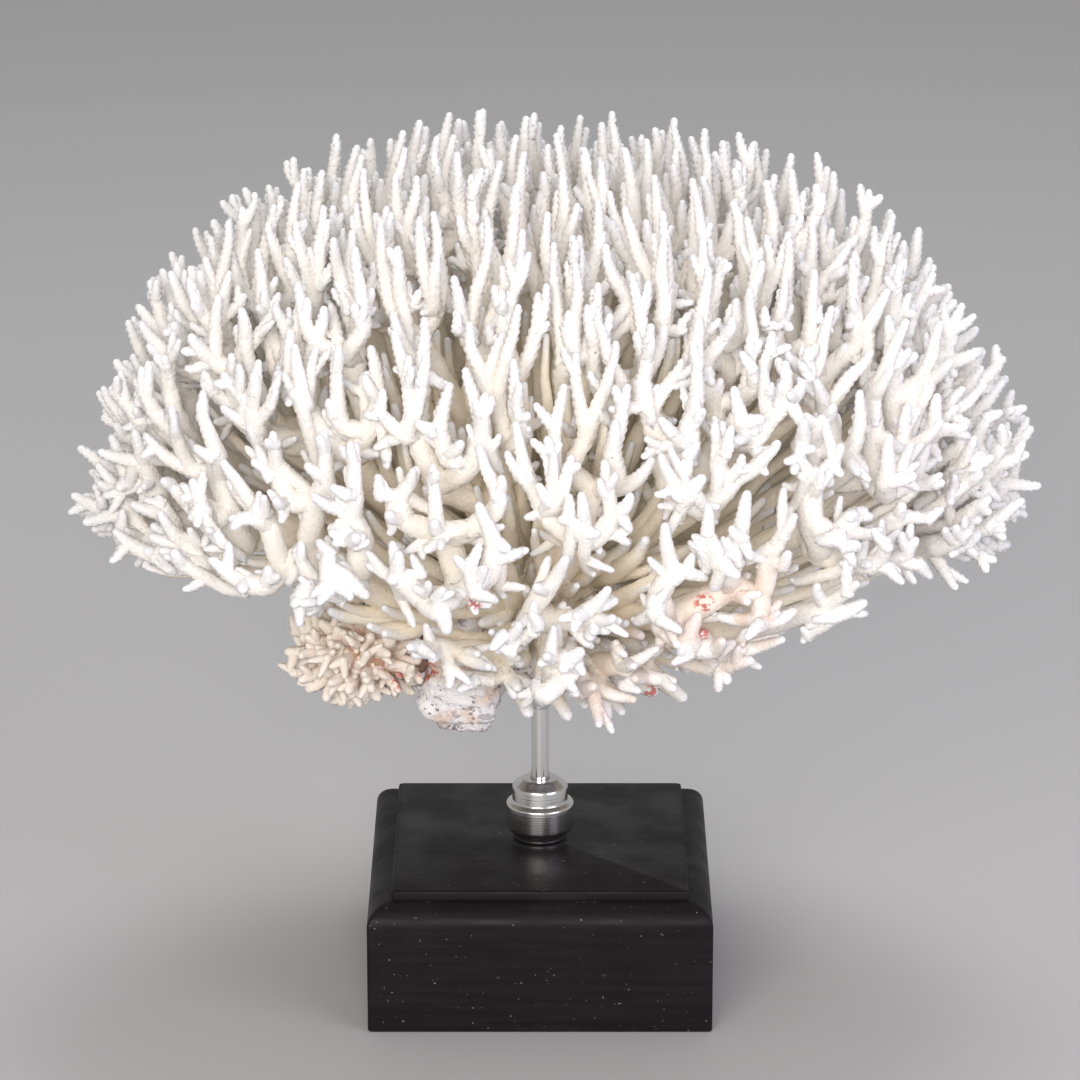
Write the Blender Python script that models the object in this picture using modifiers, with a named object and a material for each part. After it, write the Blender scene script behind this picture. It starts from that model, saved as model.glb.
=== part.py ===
"""Branching coral colony, held up by a metal rod and collar on a black moulded wooden base.

Metres, +Z up. The origin is the middle of the base's underside, and the viewer stands at -Y.
The colony is a bowl of branches that start on a holdfast and fork until they end in fingers.
Its tips are spread over a rounded surface, and each branch owns the tips nearest its direction,
so that no two branches meet. All limbs are laid out straight and then bent together.
"""

import math
import random

import bmesh
import bpy
import numpy as np
from mathutils import Matrix, Vector, noise

GAP = 0.0003
CORNERS = ((-1, -1), (1, -1), (1, 1), (-1, 1))

# Wooden base
BASE_WIDTH = 0.150
BASE_HEIGHT = 0.062
PLATE_WIDTH = 0.129
PLATE_STEP = 0.004
OVOLO_HEIGHT = 0.0095
OVOLO_STEPS = 5
BASE_EDGE = 0.0008

# Metal stand
ROD_RADIUS = 0.004
ROD_SIDES = 20
COLLAR_FOOT_RADIUS = 0.0122
COLLAR_FOOT_HEIGHT = 0.0018
COLLAR_RING_RADIUS = 0.0150
COLLAR_RING_HEIGHTS = (0.0050, 0.0158)
COLLAR_RING_EDGE = 0.0006
COLLAR_BARREL_RADIUS = 0.0123
COLLAR_BARREL_HEIGHTS = (0.0175, 0.0245)
COLLAR_TOP_RADIUS = 0.0088
COLLAR_HEIGHT = 0.0275
COLLAR_SIDES = 20

# Glue bead on the rod: full width down to the first share of its height, narrower at the second
GLUE_RADIUS = 0.0062
GLUE_HEIGHT = 0.013
GLUE_TOP = 0.1365
GLUE_FULL_TO = 0.6
GLUE_NARROW_AT = 0.92
GLUE_NARROWING = 0.84
GLUE_SIDES = 12

# Core of the colony: the branches' common centre, and the polyhedron that they stand on
HEART = Vector((0.0, 0.012, 0.166))
CORE_RADIUS = 0.052
CORE_BOTTOM = 0.146
CORE_SIDES = 12
CORE_SIDE_LEAN = 0.35
ROD_TOP = 0.146

# Reach of the colony from its centre: each way at the horizon, and straight up
REACH_LEFT = 0.198
REACH_RIGHT = 0.212
REACH_FRONT = 0.122
REACH_BACK = 0.160
REACH_UP = 0.208
REACH_POWER = 2.5
RAGGED = 0.05

# Low tips reach less far: this share of the reach at the first elevation, all of it from the second
LOW_REACH = 0.52
LOW_REACH_BETWEEN = (math.radians(-22), math.radians(12))

# Lowest elevation of the tips, in degrees, against their azimuth: the front is 0, and the right 90
LOWEST_AZIMUTHS = (-180, -90, -66, -28, -14, 45, 70, 100, 180)
LOWEST_TIPS = (5, 7, 14, 12, -19, -17, -9, 1, 5)

# The colony is hollow below, most of all on the right: no tips under these elevations against the azimuth
HOLLOW_AZIMUTHS = (-20, 30, 41, 50, 62, 70, 78, 88, 100, 112)
HOLLOW_TIPS = (-9, -9, 0, 6, 7.2, 6.8, 5.6, 4.2, 4, -40)

# Limbs are thick and open low on the front: below the first elevation, and where they face it enough
LOW_BELOW = (math.radians(26), math.radians(50))
FRONT_FROM = (-0.3, 0.6)

# Branches and fingers
BRANCHES = 36
GROUPING_ROUNDS = 30
TIP_SPACING = 0.0143
LOW_TIP_SPACING = 0.0150
TIP_TRIES = 16000
FINGER_RADIUS = 0.0033
LOW_FINGER_RADIUS = 0.0045
THICKENING = 0.20
LIMB_SHARE = 0.115
ROOT_RADIUS = 0.0066
ROOT_LENGTH = 0.006
FORK_HALF_ANGLE = math.radians(14)
LOW_FORK_HALF_ANGLE = math.radians(25)

# Room that a fork needs: the shortest limb before it, and its rise over its width
SHORTEST_LIMB = 0.008
LEAST_RISE = 0.8

# Thickness where room is short: the least share of it beside a fork, and the most per length of a piece
THINNEST_SHARE = 0.5
STOUTEST_LIMB = 0.55
STOUTEST_FINGER = 0.26

# A finger keeps its thickness up to its shoulder, and narrows to its tip; fingers fused in one, usual and low
FINGER_SHOULDER = 0.6
TIP_SHARE = 0.55
FINGERS_FUSED = 5
LOW_FINGERS_FUSED = 3
SEED = 7

# Bend of the whole colony: limbs curve up, and wander on waves that reach full height part of the way out
UPWARD_BEND = 0.36
UNBENDING_ROUNDS = 20
UNBENDING_STEP = 0.7
WAVE_HEIGHT = 0.0065
WAVE_LENGTH = 0.055
WAVE_RISE = 3.0

# Dead rock that the colony grew on: each lump's middle, half sizes, tilt about Y in degrees and fineness
ROCK_LUMPS = (
    ((0.002, 0.011, 0.1460), (0.034, 0.032, 0.0145), 0, 2),
    ((-0.033, -0.036, 0.1465), (0.0185, 0.0165, 0.0215), 20, 2),
    ((0.034, -0.004, 0.1450), (0.024, 0.020, 0.0110), -20, 2),
    ((0.031, -0.016, 0.1385), (0.0095, 0.0090, 0.0085), 10, 2),
    ((0.046, -0.012, 0.1420), (0.0085, 0.0080, 0.0075), -10, 2),
)
ROCK_ROUGHNESS = 0.0024
ROCK_GRAIN = 0.013

# Small dense colony of short fingers, low on the left
CLUSTER_MIDDLE = Vector((-0.0770, -0.0240, 0.1580))
CLUSTER_SIZE = Vector((0.0225, 0.0190, 0.0130))
CLUSTER_FINENESS = 2
CLUSTER_FINGER = 0.0085
CLUSTER_FINGER_SPREAD = (0.7, 1.25)
CLUSTER_FINGER_SHARE = 0.42
CLUSTER_BARE_FROM_RIGHT = 0.55
CLUSTER_BARE_FROM_TOP = 0.6
CLUSTER_NECK_RADIUS = 0.0099


def new_material(name, colour, roughness, metallic=0.0):
    """A Principled material with one colour."""
    material = bpy.data.materials.new(name)
    material.use_nodes = True
    shader = material.node_tree.nodes["Principled BSDF"]
    shader.inputs["Base Color"].default_value = (*colour, 1.0)
    shader.inputs["Roughness"].default_value = roughness
    shader.inputs["Metallic"].default_value = metallic
    return material


def add_object(name, mesh, collection, material=None):
    """Puts a mesh in the scene as one named object."""
    piece = bpy.data.objects.new(name, mesh)
    if material:
        mesh.materials.append(material)
    collection.objects.link(piece)
    return piece


def add_bmesh(name, bm, collection, material=None):
    """Turns an edited mesh into one named object."""
    mesh = bpy.data.meshes.new(name)
    bmesh.ops.recalc_face_normals(bm, faces=bm.faces)
    bm.to_mesh(mesh)
    bm.free()
    return add_object(name, mesh, collection, material)


def add_turned(name, profile, sides, collection, material):
    """A turned solid: a closed profile of (radius, height) pairs, spun about the Z axis."""
    mesh = bpy.data.meshes.new(name)
    points = [(radius, 0.0, height) for radius, height in profile]
    loop = [(i, (i + 1) % len(points)) for i in range(len(points))]
    mesh.from_pydata(points, loop, [])
    piece = add_object(name, mesh, collection, material)
    screw = piece.modifiers.new("Turn", "SCREW")
    screw.steps = screw.render_steps = sides
    screw.use_merge_vertices = True
    screw.merge_threshold = 0.00001
    return piece


def add_cylinder(name, radius, bottom, top, sides, collection, material=None):
    """An upright cylinder on the Z axis."""
    bm = bmesh.new()
    place = Matrix.Translation((0, 0, (bottom + top) / 2))
    bmesh.ops.create_cone(
        bm, cap_ends=True, segments=sides, radius1=radius, radius2=radius, depth=top - bottom, matrix=place
    )
    return add_bmesh(name, bm, collection, material)


def add_boolean(piece, cutter, operation):
    """Joins or cuts a piece with another mesh object."""
    boolean = piece.modifiers.new(operation.title(), "BOOLEAN")
    boolean.operation = operation
    boolean.object = cutter
    boolean.solver = "EXACT"
    return boolean


def make_base(collection, material):
    """The square block: straight sides, a quarter-round shoulder, a small step and the top plate."""
    half, plate = BASE_WIDTH / 2, PLATE_WIDTH / 2
    shoulder = BASE_HEIGHT - PLATE_STEP - OVOLO_HEIGHT
    outline = [(half - BASE_EDGE, 0.0), (half, BASE_EDGE), (half, shoulder)]
    for step in range(1, OVOLO_STEPS + 1):
        turn = math.pi / 2 * step / OVOLO_STEPS
        outline.append((plate + (half - plate) * math.cos(turn), shoulder + OVOLO_HEIGHT * math.sin(turn)))
    outline.append((plate, BASE_HEIGHT - BASE_EDGE))
    outline.append((plate - BASE_EDGE, BASE_HEIGHT))
    rings = [[Vector((x * width, y * width, height)) for x, y in CORNERS] for width, height in outline]
    bm = bmesh.new()
    top = block_between(bm, rings[0], rings[1])
    for ring_above in rings[2:]:
        top = extrude_to(bm, top, ring_above)
    add_bmesh("wood_base", bm, collection, material)


def make_stand(collection, metal, glue):
    """The turned collar, the rod that stands in it, and the glue bead where the rod meets the coral."""
    foot = BASE_HEIGHT + GAP
    bore = ROD_RADIUS + GAP
    add_turned(
        "stand_collar",
        [
            (bore, foot + COLLAR_HEIGHT),
            (COLLAR_TOP_RADIUS, foot + COLLAR_HEIGHT),
            (COLLAR_BARREL_RADIUS, foot + COLLAR_BARREL_HEIGHTS[1]),
            (COLLAR_BARREL_RADIUS, foot + COLLAR_BARREL_HEIGHTS[0]),
            (COLLAR_RING_RADIUS - COLLAR_RING_EDGE, foot + COLLAR_RING_HEIGHTS[1] + COLLAR_RING_EDGE),
            (COLLAR_RING_RADIUS, foot + COLLAR_RING_HEIGHTS[1]),
            (COLLAR_RING_RADIUS, foot + COLLAR_RING_HEIGHTS[0]),
            (COLLAR_FOOT_RADIUS, foot + COLLAR_FOOT_HEIGHT),
            (COLLAR_FOOT_RADIUS, foot),
            (bore, foot),
        ],
        COLLAR_SIDES,
        collection,
        metal,
    )
    add_cylinder("stand_rod", ROD_RADIUS, foot, ROD_TOP, ROD_SIDES, collection, metal)
    bead = [
        (bore, GLUE_TOP),
        (GLUE_RADIUS, GLUE_TOP),
        (GLUE_RADIUS, GLUE_TOP - GLUE_HEIGHT * GLUE_FULL_TO),
        (GLUE_RADIUS * GLUE_NARROWING, GLUE_TOP - GLUE_HEIGHT * GLUE_NARROW_AT),
        (bore, GLUE_TOP - GLUE_HEIGHT),
    ]
    add_turned("glue_bead", bead, GLUE_SIDES, collection, glue)


def block_between(bm, lower, upper):
    """A six-sided block with these two rings of four corners, and its upper face."""
    cube = bmesh.ops.create_cube(bm, size=2.0)["verts"]
    places = {(*corner, -1): lower[i] for i, corner in enumerate(CORNERS)}
    places.update({(*corner, 1): upper[i] for i, corner in enumerate(CORNERS)})
    top = next(face for face in bm.faces if all(v.co.z > 0 for v in face.verts))
    for vert in cube:
        vert.co = places[tuple(round(c) for c in vert.co)]
    return top


def extrude_to(bm, face, points):
    """Extrudes a face and sets its corners on the given ring, turned so that the sides twist least."""
    made = bmesh.ops.extrude_face_region(bm, geom=[face])
    end = next(item for item in made["geom"] if isinstance(item, bmesh.types.BMFace))
    if face.is_valid:
        bmesh.ops.delete(bm, geom=[face], context="FACES_ONLY")
    corners = [loop.vert for loop in end.loops]
    count = len(corners)
    middle = sum((v.co for v in corners), Vector()) / count
    centre = sum(points, Vector()) / count
    sides = [(v.co - middle).normalized() for v in corners]
    rings = [points[k:] + points[:k] for k in range(count)]
    rings += [ring[::-1] for ring in rings]
    wanted = face_normal(corners).dot(centre - middle)

    def misfit(ring):
        flipped = ring_normal(ring).dot(centre - middle) * wanted < 0
        twist = sum((side - (p - centre).normalized()).length for side, p in zip(sides, ring))
        return (flipped, twist)

    best = min(rings, key=misfit)
    for vert, point in zip(corners, best):
        vert.co = point
    return end


def face_normal(corners):
    return ring_normal([v.co for v in corners])


def ring_normal(ring):
    middle = sum(ring, Vector()) / len(ring)
    return sum(((ring[i - 1] - middle).cross(p - middle) for i, p in enumerate(ring)), Vector())


def split_across(face, direction):
    """Cuts a four-sided face in two halves that lie apart along a direction, and returns (near, far)."""
    sides = [loop.edge for loop in face.loops]
    along = [abs((e.verts[1].co - e.verts[0].co).normalized().dot(direction)) for e in sides]
    first = 0 if along[0] + along[2] > along[1] + along[3] else 1
    cuts = []
    for edge in (sides[first], sides[first + 2]):
        _, vert = bmesh.utils.edge_split(edge, edge.verts[0], 0.5)
        cuts.append(vert)
    other, _ = bmesh.utils.face_split(face, cuts[0], cuts[1])
    halves = [face, other]
    halves.sort(key=lambda half: half.calc_center_median().dot(direction))
    return halves


def colony_reach(elevation, azimuth):
    """How far the tips reach from the centre in a direction; azimuth 0 is the front, and the right is 90."""
    width = np.where(azimuth > 0, REACH_RIGHT, REACH_LEFT)
    depth = np.where(np.abs(azimuth) < math.pi / 2, REACH_FRONT, REACH_BACK)
    across = np.hypot(np.sin(azimuth) / width, np.cos(azimuth) / depth) * np.cos(elevation)
    upward = np.sin(elevation).clip(0) / REACH_UP
    reach = (across**REACH_POWER + upward**REACH_POWER) ** (-1 / REACH_POWER)
    return reach * np.interp(elevation, LOW_REACH_BETWEEN, (LOW_REACH, 1.0))


def raised(elevation, share):
    """Where the upward bend takes an elevation, at a share of the way from the core to the tips."""
    lift = UPWARD_BEND * (share - 0.5) * np.sqrt(share)
    return elevation + lift * np.sin(2 * np.maximum(elevation, 0.0))


def unraised(elevation):
    """The elevation that the bend takes to this one at the tips."""
    before = elevation
    for _ in range(UNBENDING_ROUNDS):
        before = before - (raised(before, 1.0) - elevation) * UNBENDING_STEP
    return before


def make_colony_tips():
    """Finger tips spread over the surface, no two closer than the spacing, as points before the bend."""
    rng = np.random.default_rng(SEED)
    elevation = np.arcsin(rng.uniform(math.sin(LOW_REACH_BETWEEN[0]), 1.0, TIP_TRIES))
    azimuth = rng.uniform(-math.pi, math.pi, TIP_TRIES)
    reach = colony_reach(elevation, azimuth) * (1 + RAGGED * rng.uniform(-1, 1, TIP_TRIES))
    lowest = np.interp(np.degrees(azimuth), LOWEST_AZIMUTHS, LOWEST_TIPS)
    inside = np.degrees(elevation) > lowest
    elevation, azimuth, reach = elevation[inside], azimuth[inside], reach[inside]
    places = polar(reach, elevation, azimuth)
    spacing = TIP_SPACING + (LOW_TIP_SPACING - TIP_SPACING) * lowness(places)
    kept = []
    for i, place in enumerate(places):
        if not kept or np.linalg.norm(places[kept] - place, axis=1).min() > spacing[i]:
            kept.append(i)
    return polar(reach[kept], unraised(elevation[kept]), azimuth[kept])


def polar(reach, elevation, azimuth):
    """Points from the colony's centre."""
    flat = np.cos(elevation)
    ways = np.stack([flat * np.sin(azimuth), -flat * np.cos(azimuth), np.sin(elevation)], axis=1)
    return ways * reach[:, None]


def lowness(points):
    """1 for points low on the colony's front, where the branches are thick and open, and 0 above."""
    reach = np.linalg.norm(points, axis=1)
    elevation = np.arcsin(points[:, 2] / reach)
    facing = -points[:, 1] / reach
    front = ((facing - FRONT_FROM[0]) / (FRONT_FROM[1] - FRONT_FROM[0])).clip(0, 1)
    return ((LOW_BELOW[1] - elevation) / (LOW_BELOW[1] - LOW_BELOW[0])).clip(0, 1) * front


def low_blend(tips, usual, low):
    """A measure of a limb: its usual value, or the one for limbs low on the front, or between the two."""
    return usual + (low - usual) * float(lowness(tips).mean())


def group_tips(tips, count):
    """Parts the tips into compact groups, one for each branch, and gives the branches' directions."""
    headings = tips / np.linalg.norm(tips, axis=1)[:, None]
    centres = headings[[headings[:, 2].argmax()]]
    while len(centres) < count:
        nearness = (headings @ centres.T).max(axis=1)
        centres = np.vstack([centres, headings[nearness.argmin()]])
    for _ in range(GROUPING_ROUNDS):
        owner = (headings @ centres.T).argmax(axis=1)
        sums = np.array([headings[owner == i].sum(axis=0) for i in range(count)])
        centres = sums / np.linalg.norm(sums, axis=1)[:, None]
    owner = (headings @ centres.T).argmax(axis=1)
    return [tips[owner == i] for i in range(count)], [Vector(c) for c in centres]


def hollowed(tips):
    """The tips of a group without those in the hollow below the colony."""
    azimuth = np.degrees(np.arctan2(tips[:, 0], -tips[:, 1]))
    elevation = np.degrees(np.arcsin(tips[:, 2] / np.linalg.norm(tips, axis=1)))
    return tips[elevation > np.interp(azimuth, HOLLOW_AZIMUTHS, HOLLOW_TIPS)]


def limb_radius(tips):
    """Half thickness of a limb that carries these tips."""
    return low_blend(tips, FINGER_RADIUS, LOW_FINGER_RADIUS) * len(tips) ** THICKENING


def halves_of(tips):
    """Splits a group of tips in two along its longest direction."""
    offset = tips - tips.mean(axis=0)
    _, _, axes = np.linalg.svd(offset, full_matrices=False)
    order = np.argsort(offset @ axes[0])
    middle = len(tips) // 2
    return tips[order[:middle]], tips[order[middle:]]


def fork_of(tips):
    """Where the limb that carries these tips forks, for its halves to part at the usual angle."""
    first, second = halves_of(tips)
    apart = np.linalg.norm(first.mean(axis=0) - second.mean(axis=0))
    heading = tips.mean(axis=0)
    reach = np.linalg.norm(heading)
    half_angle = low_blend(tips, FORK_HALF_ANGLE, LOW_FORK_HALF_ANGLE)
    lower = min(np.linalg.norm(first.mean(axis=0)), np.linalg.norm(second.mean(axis=0)))
    fork = min(reach - 0.5 * apart / math.tan(half_angle), lower - LEAST_RISE * apart)
    return Vector(heading / reach), fork, first, second


def is_finger(tips, room):
    """Whether a limb ends in one finger: it carries a few tips, or a few more and has no room to fork."""
    fused = round(low_blend(tips, FINGERS_FUSED, LOW_FINGERS_FUSED))
    return len(tips) <= fused or (len(tips) <= 2 * fused and room < 0)


def bent(point):
    """Bends the space round the colony's centre: limbs curve up as they reach out, and wander a little."""
    reach = point.length
    azimuth = math.atan2(point.x, -point.y)
    elevation = math.atan2(point.z, math.hypot(point.x, point.y))
    furthest = float(colony_reach(raised(elevation, 1.0), azimuth))
    share = max((reach - CORE_RADIUS) / (furthest - CORE_RADIUS), 0.0)
    turned = float(raised(elevation, share))
    flat = reach * math.cos(turned)
    moved = Vector((flat * math.sin(azimuth), -flat * math.cos(azimuth), reach * math.sin(turned)))
    drift = noise.noise_vector(point / WAVE_LENGTH) * WAVE_HEIGHT * min(share * WAVE_RISE, 1.0)
    return HEART + moved + drift


def ring(centre, heading, aim, radius):
    """Four corners of a limb's square section, two sides of it along aim."""
    heading = heading.normalized()
    across = (aim - heading * aim.dot(heading)).normalized()
    other = heading.cross(across)
    half = radius * math.sqrt(math.pi) / 2
    return [centre + (across * a + other * b) * half for a, b in CORNERS]


def clear_ring(centre, heading, aim, radius, walls):
    """A limb's section, made thinner where it would cross a wall between two forks."""
    corners = ring(centre, heading, aim, radius)
    share = 1.0
    for place, away in walls:
        room = (centre - place).dot(away)
        needed = max((centre - corner).dot(away) for corner in corners)
        share = min(share, max(room / needed, THINNEST_SHARE))
    return [centre + (corner - centre) * share for corner in corners]


def grow(bm, face, tips, start, aim, walls=()):
    """Grows a limb from a face: it forks while it carries more than a few tips, and ends in one finger."""
    heading, reach, first, second = fork_of(tips)
    if is_finger(tips, reach - start.length):
        tip = Vector(tips.mean(axis=0)).normalized() * float(np.linalg.norm(tips, axis=1).max())
        heading = tip - start
        shoulder = start + heading * FINGER_SHOULDER
        radius = min(limb_radius(tips), heading.length * STOUTEST_FINGER)
        face = extrude_to(bm, face, clear_ring(shoulder, heading, aim, radius, walls))
        extrude_to(bm, face, clear_ring(tip, heading, aim, limb_radius(tips[:1]) * TIP_SHARE, walls))
        return
    point = heading * max(reach, start.length + SHORTEST_LIMB)
    aim = Vector(second.mean(axis=0) - first.mean(axis=0)).normalized()
    radius = min(limb_radius(tips), point.length * LIMB_SHARE, (point - start).length * STOUTEST_LIMB)
    face = extrude_to(bm, face, clear_ring(point, point - start, aim, radius, walls))
    near, far = split_across(face, aim)
    wall = (aim - point * aim.dot(point) / point.length_squared).normalized()
    grow(bm, near, first, point, aim, [*walls, (point, -wall)])
    grow(bm, far, second, point, aim, [*walls, (point, wall)])


def make_branch(name, tips, direction, collection, cutters, material):
    """One main branch: a root on a facet of the core, and everything that forks from it.

    The union with the foot also merges the branch's own limbs where they cross.
    """
    start = direction * (CORE_RADIUS + GAP)
    neck = direction * (CORE_RADIUS + ROOT_LENGTH)
    aim = direction.orthogonal()
    root = [ring(place, direction, aim, ROOT_RADIUS) for place in (start, neck)]
    limbs, foot = bmesh.new(), bmesh.new()
    grow(limbs, block_between(limbs, *root), tips, neck, aim)
    block_between(foot, *root)
    for vert in [*limbs.verts, *foot.verts]:
        vert.co = bent(vert.co)
    branch = add_bmesh(name, limbs, collection, material)
    union = add_boolean(branch, add_bmesh(f"{name}_foot", foot, cutters), "UNION")
    union.use_self = True


def make_core(directions):
    """The core: a block with one flat facet square to each branch and a flat underside, as an edited mesh."""
    bm = bmesh.new()
    bmesh.ops.create_cube(bm, size=CORE_RADIUS * 4)
    planes = [(direction * CORE_RADIUS, direction) for direction in directions]
    planes.append((Vector((0, 0, CORE_BOTTOM - HEART.z)), Vector((0, 0, -1))))
    for number in range(CORE_SIDES):
        turn = 2 * math.pi * number / CORE_SIDES
        side = Vector((math.cos(turn), math.sin(turn), -CORE_SIDE_LEAN)).normalized()
        planes.append((side * CORE_RADIUS, side))
    for point, normal in planes:
        geometry = bm.verts[:] + bm.edges[:] + bm.faces[:]
        bmesh.ops.bisect_plane(bm, geom=geometry, plane_co=point, plane_no=normal, clear_outer=True)
        bmesh.ops.holes_fill(bm, edges=[e for e in bm.edges if e.is_boundary])
    bmesh.ops.translate(bm, verts=bm.verts, vec=HEART)
    return bm


def lump(bm, middle, size, tilt, fineness):
    """A rough ball: an icosphere stretched, tilted about Y and roughened."""
    turn = Matrix.Rotation(math.radians(tilt), 3, "Y")
    for vert in bmesh.ops.create_icosphere(bm, subdivisions=fineness, radius=1.0)["verts"]:
        place = Vector(middle) + turn @ Vector(vert.co[i] * size[i] for i in range(3))
        vert.co = place + noise.noise_vector(place / ROCK_GRAIN) * ROCK_ROUGHNESS


def make_holdfast(directions, collection, cutters, material):
    """The core of the colony with the dead rock that it grew on, in one solid, bored for rod and glue."""
    holdfast = add_bmesh("coral_holdfast", make_core(directions), collection, material)
    for number, shape in enumerate(ROCK_LUMPS, 1):
        bm = bmesh.new()
        lump(bm, *shape)
        add_boolean(holdfast, add_bmesh(f"rock_lump_{number}", bm, cutters), "UNION")
    under = GLUE_TOP - GLUE_HEIGHT - GAP
    bores = (("rod_bore", ROD_RADIUS, ROD_TOP), ("glue_bore", GLUE_RADIUS, GLUE_TOP))
    for name, radius, top in bores:
        cutter = add_cylinder(name, radius + GAP, under, top + GAP, ROD_SIDES, cutters)
        add_boolean(holdfast, cutter, "DIFFERENCE")


def make_cluster(direction, collection, cutters, material):
    """The small dense colony: a lump on a neck of its own, whose faces each grow into one short finger."""
    rng = random.Random(SEED)
    bm = bmesh.new()
    lump(bm, CLUSTER_MIDDLE, CLUSTER_SIZE, 0, CLUSTER_FINENESS)
    for face in list(bm.faces):
        outward = (face.calc_center_median() - CLUSTER_MIDDLE).normalized()
        if outward.x > CLUSTER_BARE_FROM_RIGHT or outward.z > CLUSTER_BARE_FROM_TOP:
            continue
        made = bmesh.ops.extrude_discrete_faces(bm, faces=[face])["faces"][0]
        grow_by = outward * CLUSTER_FINGER * rng.uniform(*CLUSTER_FINGER_SPREAD)
        middle = made.calc_center_median()
        for vert in made.verts:
            vert.co = middle + (vert.co - middle) * CLUSTER_FINGER_SHARE + grow_by
    cluster = add_bmesh("coral_cluster", bm, collection, material)
    start = HEART + direction * (CORE_RADIUS + GAP)
    aim = direction.orthogonal()
    bm = bmesh.new()
    neck = [ring(place, direction, aim, CLUSTER_NECK_RADIUS) for place in (start, CLUSTER_MIDDLE)]
    block_between(bm, *neck)
    add_boolean(cluster, add_bmesh("cluster_neck", bm, cutters), "UNION")


def main():
    noise.seed_set(SEED)
    for old in list(bpy.data.objects):
        bpy.data.objects.remove(old)
    scene = bpy.context.scene
    coral = bpy.data.collections.new("branching_coral")
    cutters = bpy.data.collections.new("cutters")
    scene.collection.children.link(coral)
    scene.collection.children.link(cutters)
    white = new_material("coral_white", (0.90, 0.87, 0.83), 0.6)
    black = new_material("black_wood", (0.03, 0.03, 0.032), 0.45)
    rock = new_material("coral_rock", (0.62, 0.56, 0.54), 0.9)
    steel = new_material("steel", (0.72, 0.70, 0.68), 0.3, 1.0)
    glue = new_material("glue", (0.80, 0.80, 0.80), 0.25)
    groups, directions = group_tips(make_colony_tips(), BRANCHES)
    cluster_direction = (CLUSTER_MIDDLE - HEART).normalized()
    make_base(coral, black)
    make_stand(coral, steel, glue)
    make_holdfast([*directions, cluster_direction], coral, cutters, rock)
    make_cluster(cluster_direction, coral, cutters, white)
    for number, (group, direction) in enumerate(zip(map(hollowed, groups), directions), 1):
        make_branch(f"branch_{number:02d}", group, direction, coral, cutters, white)
    for helper in cutters.objects:
        helper.hide_render = True
        helper.display_type = "WIRE"


main()
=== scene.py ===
"""Looks of the branching coral on its stand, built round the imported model.

Metres, +Z up, the viewer at -Y. The colony's branches grow again by the rules that laid out the solids,
here down to single round fingers with side prongs and rows of small cups. The holdfast, the small dense
colony, the glue, the metal and the wooden base each have a detailed piece of their own.
"""

import math
import random

import bmesh
import bpy
import numpy as np
from mathutils import Matrix, Vector, noise


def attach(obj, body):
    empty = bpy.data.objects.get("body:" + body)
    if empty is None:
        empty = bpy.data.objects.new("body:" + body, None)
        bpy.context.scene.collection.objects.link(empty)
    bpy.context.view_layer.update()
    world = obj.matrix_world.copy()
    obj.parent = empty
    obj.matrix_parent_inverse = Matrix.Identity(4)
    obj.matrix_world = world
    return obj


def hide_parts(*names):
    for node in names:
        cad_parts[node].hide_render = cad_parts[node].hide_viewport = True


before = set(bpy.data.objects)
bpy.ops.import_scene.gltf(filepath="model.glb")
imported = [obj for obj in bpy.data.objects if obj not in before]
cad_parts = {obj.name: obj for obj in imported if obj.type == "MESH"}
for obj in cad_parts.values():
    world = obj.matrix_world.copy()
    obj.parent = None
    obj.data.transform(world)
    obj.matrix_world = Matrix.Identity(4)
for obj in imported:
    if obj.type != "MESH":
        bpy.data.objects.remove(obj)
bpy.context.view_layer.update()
SEED = 7
noise.seed_set(SEED)

# The colony's centre and reach, as in the solids
HEART = np.array([0.0, 0.012, 0.166])
CORE_RADIUS = 0.052
REACH_LEFT = 0.198
REACH_RIGHT = 0.212
REACH_FRONT = 0.122
REACH_BACK = 0.160
REACH_UP = 0.208
REACH_POWER = 2.5
RAGGED = 0.05
LOW_REACH = 0.52
LOW_REACH_BETWEEN = (math.radians(-22), math.radians(12))
LOWEST_AZIMUTHS = (-180, -90, -66, -28, -14, 45, 70, 100, 180)
LOWEST_TIPS = (5, 7, 14, 12, -19, -17, -9, 1, 5)
# The colony is hollow below: no tips under these elevations against the azimuth
HOLLOW_AZIMUTHS = (-20, 30, 41, 50, 62, 70, 78, 88, 100, 112)
HOLLOW_TIPS = (-9, -9, 0, 6, 7.2, 6.8, 5.6, 4.2, 4, -40)
LOW_BELOW = (math.radians(26), math.radians(50))
FRONT_FROM = (-0.3, 0.6)

# Branches and fingers, as in the solids
BRANCHES = 36
TIP_SPACING = 0.0143
LOW_TIP_SPACING = 0.0150
TIP_TRIES = 16000
FINGER_RADIUS = 0.0033
LOW_FINGER_RADIUS = 0.0040
THICKENING = 0.20
LIMB_SHARE = 0.115
ROOT_RADIUS = 0.0066
ROOT_LENGTH = 0.006
FORK_HALF_ANGLE = math.radians(14)
LOW_FORK_HALF_ANGLE = math.radians(25)
SHORTEST_LIMB = 0.008
LEAST_RISE = 0.8
UPWARD_BEND = 0.36
WAVE_HEIGHT = 0.0065
WAVE_LENGTH = 0.055
WAVE_RISE = 3
GROUPING_ROUNDS = 30
UNBENDING_ROUNDS = 20
UNBENDING_STEP = 0.7

# A limb's side fork: its thickness against the limb's, and how far back inside the limb it starts
SIDE_FORK_LIMIT = 1.05
SIDE_FORK_SHARE = 0.94
SIDE_FORK_BACK = 0.5

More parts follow.
